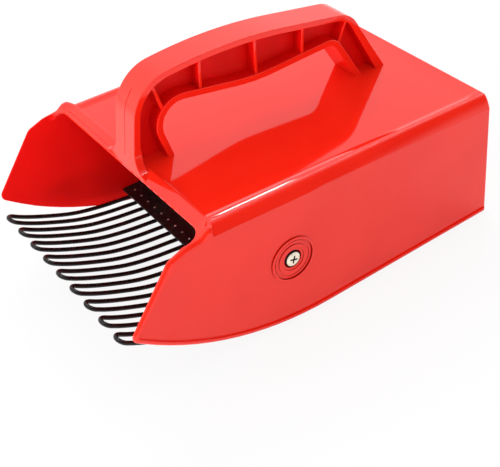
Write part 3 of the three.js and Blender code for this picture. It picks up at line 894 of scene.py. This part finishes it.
def spun(profile, side, steps=96):
    """Turns a closed profile (radius, x) about the screw axis."""
    bm = bmesh.new()
    loop = [bm.verts.new((x, SCREW_Y + radius, SCREW_Z)) for radius, x in profile]
    edges = [bm.edges.new((loop[index], loop[(index + 1) % len(loop)])) for index in range(len(loop))]
    bmesh.ops.spin(bm, geom=loop + edges, cent=(0, SCREW_Y, SCREW_Z), axis=(1, 0, 0), angle=2 * pi,
                   steps=steps, use_merge=True)
    bmesh.ops.remove_doubles(bm, verts=bm.verts, dist=0.0005)
    return turn_out(to_side(bm, side))


BOSS_FACE = WALL_HALF + 0.85
BOSS_RIM = WALL_HALF + 0.06
BOSS_BACK = 63.6
# Radius, X and rounding of each corner, outwards on the inner side and back on the outer side
BOSS_PROFILE = [
    (HOLE, BOSS_BACK, 0), (8.2, BOSS_BACK, 0.5), (8.2, 66.8, 0), (12.4, 66.8, 0), (12.4, BOSS_RIM, 0),
    (12.05, BOSS_RIM, 0), (12.05, BOSS_FACE - 0.1, 0.3), (10.75, BOSS_FACE, 0.25), (10.7, 67.3, 0), (10.1, 67.3, 0),
    (10.05, BOSS_FACE - 0.6, 0.12), (9.1, BOSS_FACE - 0.6, 0.12), (9.05, 67.1, 0), (8.1, 67.1, 0),
    (8.05, BOSS_FACE - 0.45, 0.2), (6.2, BOSS_FACE - 0.5, 0.25), (6.1, BOSS_FACE - 0.9, 0.1),
    (4.75, BOSS_FACE - 0.9, 0.2), (4.75, 66.0, 0), (HOLE, 66.0, 0),
]
# Steep faces inside this radius or this far below the ring get no light, nor does all that lies deeper
SHADE_RADIUS, SHADE_DROP, SHADE_FLOOR = 11.0, 0.3, 1.2


def make_boss(side):
    """A raised ring round a narrow and a wide land, with grooves between them and a hole for the screw head."""
    def shaded(place, way):
        depth = BOSS_FACE - abs(place.x)
        steep = abs(way.x) < 0.5 and (from_axis(place) < SHADE_RADIUS or depth > SHADE_DROP)
        return steep or depth > SHADE_FLOOR

    return paint(spun(round_corners(BOSS_PROFILE, 5), side), shaded)


# Pan, tines and fasteners

SHEET = 1.2
PAN_HALF = 65.3
PAN_FRONT, PAN_REAR = 23.4, INNER_REAR - 0.3
PAN_FRONT_HEIGHT, PAN_LOW = 12.4, 3.0
# Underside of the pan, from its front edge to the top of its rear flange: Y, Z and the radius of each bend
PAN_UNDER = [(PAN_FRONT, PAN_FRONT_HEIGHT, 0), (54.0, PAN_FRONT_HEIGHT, 14), (86.0, PAN_LOW, 14),
             (PAN_REAR, PAN_LOW, 2), (PAN_REAR, 12.0, 0)]
EAR_OUTER = 63.3
EAR_HALF, EAR_LOW, EAR_TOP, EAR_ROUND = 7.5, 12.5, 46.6, 5
NOTCH_HALF = 8.5  # the pan is cut back beside each ear
TINE_COUNT = 9
TINE_PITCH = 14.0
LEG_OFFSET = 3.5  # from the middle of a tine to each leg
WIRE_RADIUS = 1.1
WIRE_GAP = 0.3  # between the wire and the pan above it
TIP_Y, TIP_Z = -44.47, 34.6
UNDER_PAN = (20.6, 6.0)  # places on the straight part of a leg, behind the front edge of the pan
# The curve of a leg from the edge of the pan to the tip, in shares of its length and of its height
TINE_CURVE = ((0, 0), (0.256, 0.11), (0.486, 0.271), (0.764, 0.61), (0.9, 0.816))
CURVE_STEPS, TURN_STEPS = 6, 16
WELD_Y = 28.2
WELD_RADIUS, WELD_FLATNESS = 0.62, 0.45


def make_pan():
    """The folded sheet, notched beside the ears, and the two ears."""
    under = round_corners(PAN_UNDER, 8)
    over = []
    for index, point in enumerate(under):
        way = (under[min(len(under) - 1, index + 1)] - under[max(0, index - 1)]).normalized()
        over.append(Vector((point.x - way.y * SHEET, point.y + way.x * SHEET)))
    pan = work_object(prism(under + over[::-1], "X", -PAN_HALF, PAN_HALF))
    outline = [(y + SCREW_Y, z) for y, z in four_corners(EAR_HALF, EAR_LOW, EAR_HALF, EAR_TOP, EAR_ROUND)]
    ears = []
    for side in (-1, 1):
        low, high = sorted((side * EAR_OUTER, side * (PAN_HALF + FAR)))
        combine(pan, block((low, SCREW_Y - NOTCH_HALF, 0), (high, SCREW_Y + NOTCH_HALF, PAN_FRONT_HEIGHT + FAR)))
        ear = work_object(prism(outline, "X", *sorted((side * (EAR_OUTER - SHEET), side * EAR_OUTER))))
        combine(ear, bar(HOLE, -ACROSS, ACROSS, 32))
        ears.append(soften(opened(ear), 0.2, 2))
    return join([soften(opened(pan), 0.25, convex_only=False)] + ears)


def tine_middle(index):
    return TINE_PITCH * (index - (TINE_COUNT - 1) / 2)


def make_weld_dots():
    """One small spot weld over each leg of the tines."""
    dots = []
    for index in range(TINE_COUNT):
        for leg in (-1, 1):
            bm = bmesh.new()
            bmesh.ops.create_uvsphere(bm, u_segments=20, v_segments=12, radius=WELD_RADIUS)
            bmesh.ops.scale(bm, verts=bm.verts, vec=(1, 1, WELD_FLATNESS))
            place = (tine_middle(index) + leg * LEG_OFFSET, WELD_Y, PAN_FRONT_HEIGHT + SHEET)
            bmesh.ops.translate(bm, verts=bm.verts, vec=place)
            dots.append(bm)
    return join(dots)


def smooth_path(points, steps):
    """A centripetal Catmull-Rom curve through the points."""
    def blend(first, second, start, end, t):
        return first * ((end - t) / (end - start)) + second * ((t - start) / (end - start))

    padded = [points[0] * 2 - points[1]] + points + [points[-1] * 2 - points[-2]]
    path = []
    for index in range(1, len(padded) - 2):
        near = padded[index - 1:index + 3]
        times = [0.0]
        for first, second in zip(near, near[1:]):
            times.append(times[-1] + max(1e-6, (second - first).length ** 0.5))
        for step in range(steps):
            t = times[1] + (times[2] - times[1]) * step / steps
            a, b, c = (blend(near[k], near[k + 1], times[k], times[k + 1], t) for k in range(3))
            before, after = blend(a, b, times[0], times[2], t), blend(b, c, times[1], times[3], t)
            path.append(blend(before, after, times[1], times[2], t))
    path.append(points[-1])
    return path


def tine_path(index):
    """The centre line of a tine: out from under the pan and up, round the tip and back again."""
    start = PAN_FRONT_HEIGHT - WIRE_GAP - WIRE_RADIUS
    tip = Vector((0, TIP_Y, TIP_Z))
    run, rise = PAN_FRONT - TIP_Y, TIP_Z - start
    curve = [Vector((0, PAN_FRONT - along * run, start + up * rise)) for along, up in TINE_CURVE]
    way = (tip - curve[-1]).normalized()
    turn = tip - way * LEG_OFFSET
    curve.append(turn)
    leg = [Vector((0, PAN_FRONT + back, start)) for back in UNDER_PAN] + smooth_path(curve, CURVE_STEPS)
    across = Vector((1, 0, 0))
    path = [point - across * LEG_OFFSET for point in leg]
    for step in range(1, TURN_STEPS):
        angle = pi * step / TURN_STEPS
        path.append(turn - across * (LEG_OFFSET * cos(angle)) + way * (LEG_OFFSET * sin(angle)))
    path += [point + across * LEG_OFFSET for point in reversed(leg)]
    return [point + across * tine_middle(index) for point in path]


def make_tube(path, radius, sides=14):
    """A round wire along a path: a disc extruded from point to point."""
    bm = bmesh.new()
    disc = bmesh.ops.create_circle(bm, cap_ends=True, segments=sides, radius=radius)
    tangent = (path[1] - path[0]).normalized()
    turn = Vector((0, 0, 1)).rotation_difference(tangent).to_matrix().to_4x4()
    bmesh.ops.transform(bm, matrix=Matrix.Translation(path[0]) @ turn, verts=disc["verts"])
    face = bm.faces[:][0]
    for index in range(1, len(path)):
        ahead = path[min(index + 1, len(path) - 1)] - path[index - 1]
        new_tangent = ahead.normalized()
        face, verts = draw_out(bm, face, keep=index == 1)
        bend = tangent.rotation_difference(new_tangent).to_matrix().to_4x4()
        bmesh.ops.transform(bm, matrix=Matrix.Translation(path[index]) @ bend @ Matrix.Translation(
            -path[index - 1]), verts=verts)
        tangent = new_tangent
    return turn_out(bm)


# Places along X of the parts of a fixing on the right side, and their sizes
HEAD_SEAT, HEAD_TOP, SHANK_END = 66.6, 68.9, 56.5
HEAD_RADIUS, SHANK_RADIUS = 3.85, 1.95
SHANK_CHAMFER = 0.3
CROSS_ARM, CROSS_HALF, CROSS_DEPTH = 2.5, 0.52, 1.4
CROSS_TAPER = 0.6
CROSS_TURN = -18  # degrees
THREAD_START, THREAD_PITCH, THREAD_COUNT = 57.1, 0.7, 10
THREAD_LOW, THREAD_HIGH, THREAD_HALF = 1.8, 2.08, 0.28
WASHER_LOW, WASHER_HIGH, WASHER_RADIUS = 61.0, 61.8, 4.6
NUT_LOW, NUT_HIGH, NUT_HALF = 57.5, 60.7, 3.5
# Radius and X of the turned shape that takes the corners off the nut
NUT_CHAMFER = [(0.0, 56.6), (3.3, 57.3), (4.3, 58.0), (4.3, 60.2), (3.3, 60.9), (0.0, 61.6)]


def make_screw(side):
    """A pan head with a tapered cross, a plain shank and a ring for each turn of the thread."""
    profile = round_corners([
        (0.0, SHANK_END, 0), (SHANK_RADIUS - SHANK_CHAMFER, SHANK_END, 0),
        (SHANK_RADIUS, SHANK_END + SHANK_CHAMFER, 0), (SHANK_RADIUS, HEAD_SEAT, 0), (HEAD_RADIUS, HEAD_SEAT, 0.2),
        (HEAD_RADIUS, HEAD_TOP - 0.5, 0.6), (2.6, HEAD_TOP, 1.2), (0.0, HEAD_TOP, 0)], 4)
    screw = work_object(spun(profile, 1, 64))
    for half_y, half_z in ((CROSS_ARM, CROSS_HALF), (CROSS_HALF, CROSS_ARM)):
        slot = block((HEAD_TOP - CROSS_DEPTH, SCREW_Y - half_y, SCREW_Z - half_z),
                     (HEAD_TOP + 1, SCREW_Y + half_y, SCREW_Z + half_z))
        bmesh.ops.scale(slot, verts=[vert for vert in slot.verts if vert.co.x < HEAD_TOP],
                        vec=(1, CROSS_TAPER, CROSS_TAPER), space=TO_AXIS)
        combine(screw, slot)

    # Faces in the cross and on the sides of the head take the painted shade
    def in_painted_shade(place, way):
        in_cross = HEAD_SEAT + 0.6 < place.x < HEAD_TOP - 0.12 and from_axis(place) < 2.4
        beside_head = HEAD_SEAT < place.x < HEAD_TOP - 0.55 and from_axis(place) > 3.6
        return in_cross or beside_head

    bm = paint(soften(opened(screw), 0.12, 2, limit=40), in_painted_shade)
    turn = TO_AXIS.inverted() @ Matrix.Rotation(radians(CROSS_TURN), 4, "X") @ TO_AXIS
    bmesh.ops.transform(bm, matrix=turn, verts=bm.verts)
    threads = []
    for step in range(THREAD_COUNT):
        x = THREAD_START + THREAD_PITCH * step
        ring = [(THREAD_LOW, x), (THREAD_HIGH, x + THREAD_HALF), (THREAD_LOW, x + 2 * THREAD_HALF)]
        threads.append(spun(ring, 1, 40))
    return to_side(join([bm] + threads), side)


def make_washer(side):
    return spun(round_corners([(HOLE, WASHER_LOW, 0.15), (WASHER_RADIUS, WASHER_LOW, 0.2),
                               (WASHER_RADIUS, WASHER_HIGH, 0.2), (HOLE, WASHER_HIGH, 0.15)], 3), side, 64)


def make_nut(side):
    nut = work_object(bar(NUT_HALF / cos(pi / 6), NUT_LOW, NUT_HIGH, 6))
    combine(nut, spun(NUT_CHAMFER, 1, 64), "INTERSECT")
    combine(nut, bar(HOLE, NUT_LOW - FAR, NUT_HIGH + FAR, 32))
    return to_side(soften(opened(nut), 0.1, 2, limit=40), side)


# Pieces

# Faces that look into the hood, on the top and on the walls, take the unpolished red painted darker as shade
finish_piece(paint(make_lid(), looks_inside), "hood_top", [RED, RED_INSIDE_SHADED], ["hood"])
finish_piece(paint(make_walls(), looks_inside), "hood_walls", [RED, RED_INSIDE_SHADED], ["hood"])
finish_piece(make_handle(), "hood_handle", [RED, RED_RECESS_SHADED], ["hood"])
finish_piece(make_pan(), "pan_sheet", [BLACK], ["floor_pan"])
finish_piece(make_weld_dots(), "pan_spot_welds", [WELD_SHEEN], ["floor_pan"])
for number in range(TINE_COUNT):
    finish_piece(make_tube(tine_path(number), WIRE_RADIUS), f"wire_tine_{number + 1}", [BLACK],
                 [f"tine_{number + 1}"])
for hand, side in (("right", 1), ("left", -1)):
    finish_piece(make_boss(side), f"hood_boss_{hand}", [RED, RED_DEEP], ["hood"])
    finish_piece(make_screw(side), f"cross_head_screw_{hand}", [ZINC, ZINC_SHADED], [f"side_screw_{hand}"])
    finish_piece(make_washer(side), f"flat_washer_{hand}", [ZINC], [f"washer_{hand}"])
    finish_piece(make_nut(side), f"hex_nut_{hand}", [ZINC], [f"nut_{hand}"])


# Floor, world and lamps

FLOOR_HALF = 3.0  # metres
FLOOR_GLOW, FLOOR_MIRRORED = 0.87, 0.3  # how much it glows to the camera and in reflections
ROOM_GLOW, ROOM_SHADE, ROOM_SHADE_MIRRORED = 1.1, 0.5, 0.08
# The darker parts of the room: the way to each, where it starts and where it is full, as cosines
ROOM_DARK = [((0.755, 0.252, 0.605), 0.72, 0.9), ((0.72, -0.55, 0.42), 0.76, 0.9)]
MIDDLE = (0, 0, 0.05)
# Place and aim in metres, size, power in watts, and whether a lamp only shows in reflections
LAMPS = {
    "far_softbox": ((-0.9, 0.55, 1.0), MIDDLE, (0.9, 0.7), 7, False),
    "side_softbox": ((1.0, -0.2, 0.5), MIDDLE, (0.7, 0.7), 2.2, False),
    "front_softbox": ((-0.3, -1.1, 0.6), MIDDLE, (0.8, 0.6), 3, False),
    "mouth_softbox": ((0.05, -0.58, 0.055), (-0.069, -0.03, 0.045), (0.1, 0.08), 2.6, False),
    "crest_strip": ((-0.519, 0.515, 0.938), (-0.519, 0.515, 0), (0.08, 0.14), 4.4, True),
    "long_crest_strip": ((-0.519, 1.05, 0.938), (-0.519, 1.05, 0), (0.1, 0.8), 0.9, True),
    "roll_strip": ((-0.09, 0.75, 1.15), (-0.09, 0.75, 0), (0.1, 0.9), 1.7, True),
}


def make_floor():
    """A pale floor that glows, so that it looks even to the camera and dimmer in reflections."""
    bm = bmesh.new()
    bmesh.ops.create_grid(bm, x_segments=8, y_segments=8, size=FLOOR_HALF)
    mesh = mesh_of(bm, "pale_floor")
    floor = add_object("pale_floor", mesh)
    material, tree, shader = new_material("pale_floor")
    shader.inputs["Base Color"].default_value = (0.82, 0.82, 0.82, 1)
    shader.inputs["Roughness"].default_value = 0.9
    shader.inputs["Specular IOR Level"].default_value = 0.1
    path = node(tree, "ShaderNodeLightPath").outputs
    mirrored = math_value(tree, "MAXIMUM", path["Is Glossy Ray"], path["Is Transmission Ray"])
    amount = math_value(tree, "MULTIPLY_ADD", path["Is Camera Ray"], FLOOR_GLOW,
                        math_value(tree, "MULTIPLY", mirrored, FLOOR_MIRRORED))
    glow = node(tree, "ShaderNodeEmission", {}, {"Strength": 1.0}).outputs["Emission"]
    mixed = node(tree, "ShaderNodeMixShader", {}, {"Fac": amount, 1: shader.outputs["BSDF"], 2: glow})
    tree.links.new(mixed.outputs["Shader"], tree.nodes["Material Output"].inputs["Surface"])
    mesh.materials.append(material)


def make_world():
    """A soft white room with two darker parts on the right, which shade the edges that face them."""
    world = bpy.data.worlds.new("studio")
    bpy.context.scene.world = world
    world.use_nodes = True
    tree = world.node_tree
    background = tree.nodes["Background"]
    place = node(tree, "ShaderNodeTexCoord").outputs["Generated"]
    dark = []
    for way, start, full in ROOM_DARK:
        facing = node(tree, "ShaderNodeVectorMath", {"operation": "DOT_PRODUCT"}, {0: place, 1: way})
        dark.append(map_value(tree, facing.outputs["Value"], start, full, curve="SMOOTHSTEP"))
    glossy = node(tree, "ShaderNodeLightPath").outputs["Is Glossy Ray"]
    least = map_value(tree, glossy, 0, 1, ROOM_SHADE, ROOM_SHADE_MIRRORED)
    strength = map_value(tree, math_value(tree, "MAXIMUM", *dark), 0, 1, ROOM_GLOW, least)
    background.inputs["Color"].default_value = (1, 1, 1, 1)
    tree.links.new(strength, background.inputs["Strength"])


def make_lamp(name, place, aim, size, power, mirrored):
    data = bpy.data.lights.new(name, "AREA")
    data.shape = "RECTANGLE"
    data.size, data.size_y = size
    data.energy = power
    lamp = add_object(name, data)
    lamp.location = place
    way = Vector(aim) - Vector(place)
    lamp.rotation_euler = way.to_track_quat("-Z", "Y").to_euler()
    lamp.visible_glossy = mirrored
    lamp.visible_diffuse = not mirrored


make_floor()
make_world()
for title, lamp_values in LAMPS.items():
    make_lamp(title, *lamp_values)

bpy.context.scene.view_settings.view_transform = "Standard"
